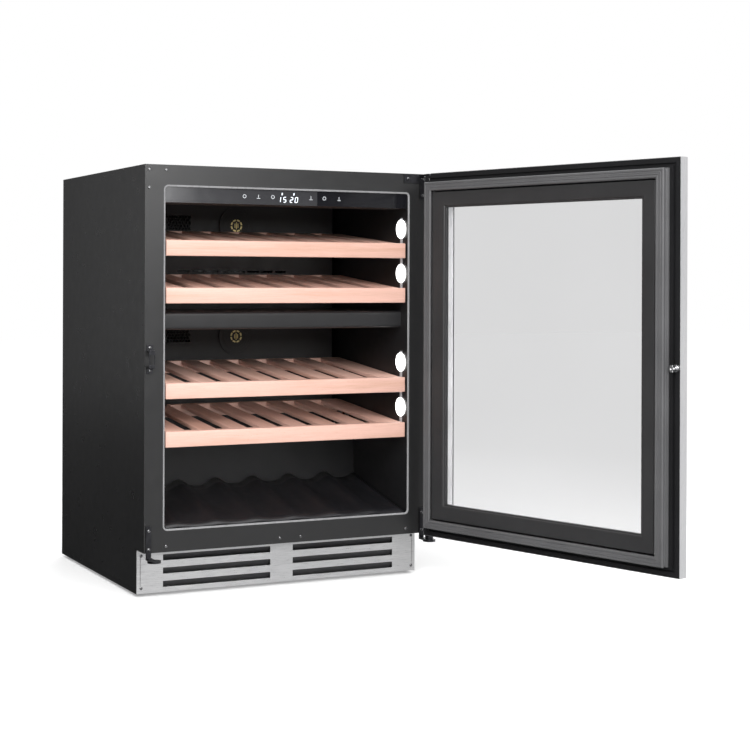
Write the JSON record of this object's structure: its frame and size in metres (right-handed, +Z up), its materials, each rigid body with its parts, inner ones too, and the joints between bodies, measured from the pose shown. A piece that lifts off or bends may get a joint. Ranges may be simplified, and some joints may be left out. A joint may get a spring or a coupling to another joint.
{
  "type": "wine cooler",
  "caption": "Under-counter wine cooler with two temperature zones, a hinged glass door, sliding beech shelves, a wavy bottle floor and a slotted kick plate.",
  "frame": {"origin": "on the floor, in the middle of the cabinet's width, in the plane of the front frame's face; the door is drawn open", "axes": "+X to the right seen from the front, +Y to the back of the cabinet, +Z up"},
  "size_m": [0.7924, 1.1064, 0.804],
  "materials": {
    "black_steel": "satin",
    "frame_grey": "satin",
    "galvanised": "satin",
    "trim_grey": "satin",
    "foam": "matte",
    "liner_black": "satin",
    "duct_black": "satin",
    "floor_black": "satin",
    "fin_aluminium": "satin",
    "fan_black": "matte",
    "rotor_grey": "satin",
    "control_black": "gloss",
    "display_white": "gloss",
    "lamp_white": "gloss",
    "lamp_bar": "satin",
    "brushed_kick": "satin",
    "louvre_grey": "satin",
    "screw_steel": "satin",
    "bracket_steel": "satin",
    "strike_black": "satin",
    "runner_steel": "satin",
    "compressor_black": "satin",
    "copper": "satin",
    "tray_white": "satin",
    "board_green": "satin",
    "inlet_black": "matte",
    "door_steel": "satin",
    "door_black": "satin",
    "gasket_rubber": "matte",
    "bezel_black": "satin",
    "clear_glass": "gloss",
    "spacer_grey": "satin",
    "handle_steel": "satin",
    "bush_white": "satin",
    "lock_chrome": "polished",
    "beech": "satin",
    "filter_black": "satin",
    "foot_black": "matte"
  },
  "bodies": {
    "cabinet": {"side_panel_left": "black_steel", "side_panel_right": "black_steel", "top_panel": "black_steel", "rear_cover": "black_steel", "inner_back_panel": "galvanised", "base_pan": "galvanised", "front_frame": "frame_grey", "opening_trim": "trim_grey", "insulation": "foam", "liner": "liner_black", "zone_divider": "liner_black", "wave_floor": "floor_black", "duct_covers": "duct_black", "evaporators": "fin_aluminium", "fan_frames": "fan_black", "control_housing": "liner_black", "control_glass": "control_black", "display_symbols": "display_white", "lamp_strips": "lamp_bar", "lamp_lenses": "lamp_white", "kick_plate": "brushed_kick", "kick_louvres": "louvre_grey", "cabinet_screws": "screw_steel", "top_hinge_bracket": "bracket_steel", "bottom_hinge_brackets": "bracket_steel", "strike_plate": "strike_black", "runner_channels": "runner_steel", "compressor": "compressor_black", "condenser": "fin_aluminium", "refrigerant_lines": "copper", "drip_tray": "tray_white", "power_board": "board_green", "power_inlet": "inlet_black"},
    "door": {"door_skin": "door_steel", "door_core": "door_black", "door_gasket": "gasket_rubber", "glass_bezel": "bezel_black", "glass_panes": "clear_glass", "glass_spacer": "spacer_grey", "door_handle": "handle_steel", "hinge_bushes": "bush_white", "lock_case": "lock_chrome"},
    "lock": {"lock_barrel": "lock_chrome"},
    "shelf_1_slide": {"shelf_1": "beech", "shelf_1_runners": "runner_steel"},
    "shelf_2_slide": {"shelf_2": "beech", "shelf_2_runners": "runner_steel"},
    "shelf_3_slide": {"shelf_3": "beech", "shelf_3_runners": "runner_steel"},
    "shelf_4_slide": {"shelf_4": "beech", "shelf_4_runners": "runner_steel"},
    "fan_rotor_upper": {"fan_rotor_upper": "rotor_grey"},
    "fan_rotor_lower": {"fan_rotor_lower": "rotor_grey"},
    "fan_rotor_machine": {"fan_rotor_machine": "rotor_grey"},
    "filter_upper": {"filter_upper": "filter_black"},
    "filter_lower": {"filter_lower": "filter_black"},
    "foot_front_left": {"foot_front_left": "foot_black"},
    "foot_front_right": {"foot_front_right": "foot_black"},
    "foot_rear_left": {"foot_rear_left": "foot_black"},
    "foot_rear_right": {"foot_rear_right": "foot_black"}
  },
  "joints": [
    {"name": "door_hinge", "type": "hinge", "parent": "cabinet", "child": "door", "pos_m": [0.289, -0.032, 0.445], "axis": [0, 0, 1], "range_deg": [-106.3, 0]},
    {"name": "lock_turn", "type": "hinge", "parent": "door", "child": "lock", "pos_m": [0.44553, -0.58687, 0.444], "axis": [0.9598, 0.2807, 0], "range_deg": [0, 90]},
    {"name": "shelf_1_travel", "type": "slide", "parent": "cabinet", "child": "shelf_1_slide", "axis": [0, -1, 0], "range_m": [0, 0.22]},
    {"name": "shelf_2_travel", "type": "slide", "parent": "cabinet", "child": "shelf_2_slide", "axis": [0, -1, 0], "range_m": [0, 0.22]},
    {"name": "shelf_3_travel", "type": "slide", "parent": "cabinet", "child": "shelf_3_slide", "axis": [0, -1, 0], "range_m": [0, 0.22]},
    {"name": "shelf_4_travel", "type": "slide", "parent": "cabinet", "child": "shelf_4_slide", "axis": [0, -1, 0], "range_m": [0, 0.22]},
    {"name": "fan_upper_spin", "type": "hinge", "parent": "cabinet", "child": "fan_rotor_upper", "pos_m": [0.13, 0.346, 0.591], "axis": [0, 1, 0], "continuous": true},
    {"name": "fan_lower_spin", "type": "hinge", "parent": "cabinet", "child": "fan_rotor_lower", "pos_m": [0.13, 0.346, 0.4355], "axis": [0, 1, 0], "continuous": true},
    {"name": "fan_machine_spin", "type": "hinge", "parent": "cabinet", "child": "fan_rotor_machine", "pos_m": [-0.062, 0.3991, 0.084], "axis": [0, 1, 0], "continuous": true},
    {"name": "filter_upper_twist", "type": "hinge", "parent": "cabinet", "child": "filter_upper", "pos_m": [0.017, 0.311, 0.7055], "axis": [0, 1, 0], "range_deg": [0, 45]},
    {"name": "filter_lower_twist", "type": "hinge", "parent": "cabinet", "child": "filter_lower", "pos_m": [0.017, 0.311, 0.473], "axis": [0, 1, 0], "range_deg": [0, 45]},
    {"name": "foot_front_left_height", "type": "slide", "parent": "cabinet", "child": "foot_front_left", "axis": [0, 0, -1], "range_m": [0, 0.02]},
    {"name": "foot_front_right_height", "type": "slide", "parent": "cabinet", "child": "foot_front_right", "axis": [0, 0, -1], "range_m": [0, 0.02]},
    {"name": "foot_rear_left_height", "type": "slide", "parent": "cabinet", "child": "foot_rear_left", "axis": [0, 0, -1], "range_m": [0, 0.02]},
    {"name": "foot_rear_right_height", "type": "slide", "parent": "cabinet", "child": "foot_rear_right", "axis": [0, 0, -1], "range_m": [0, 0.02]}
  ]
}
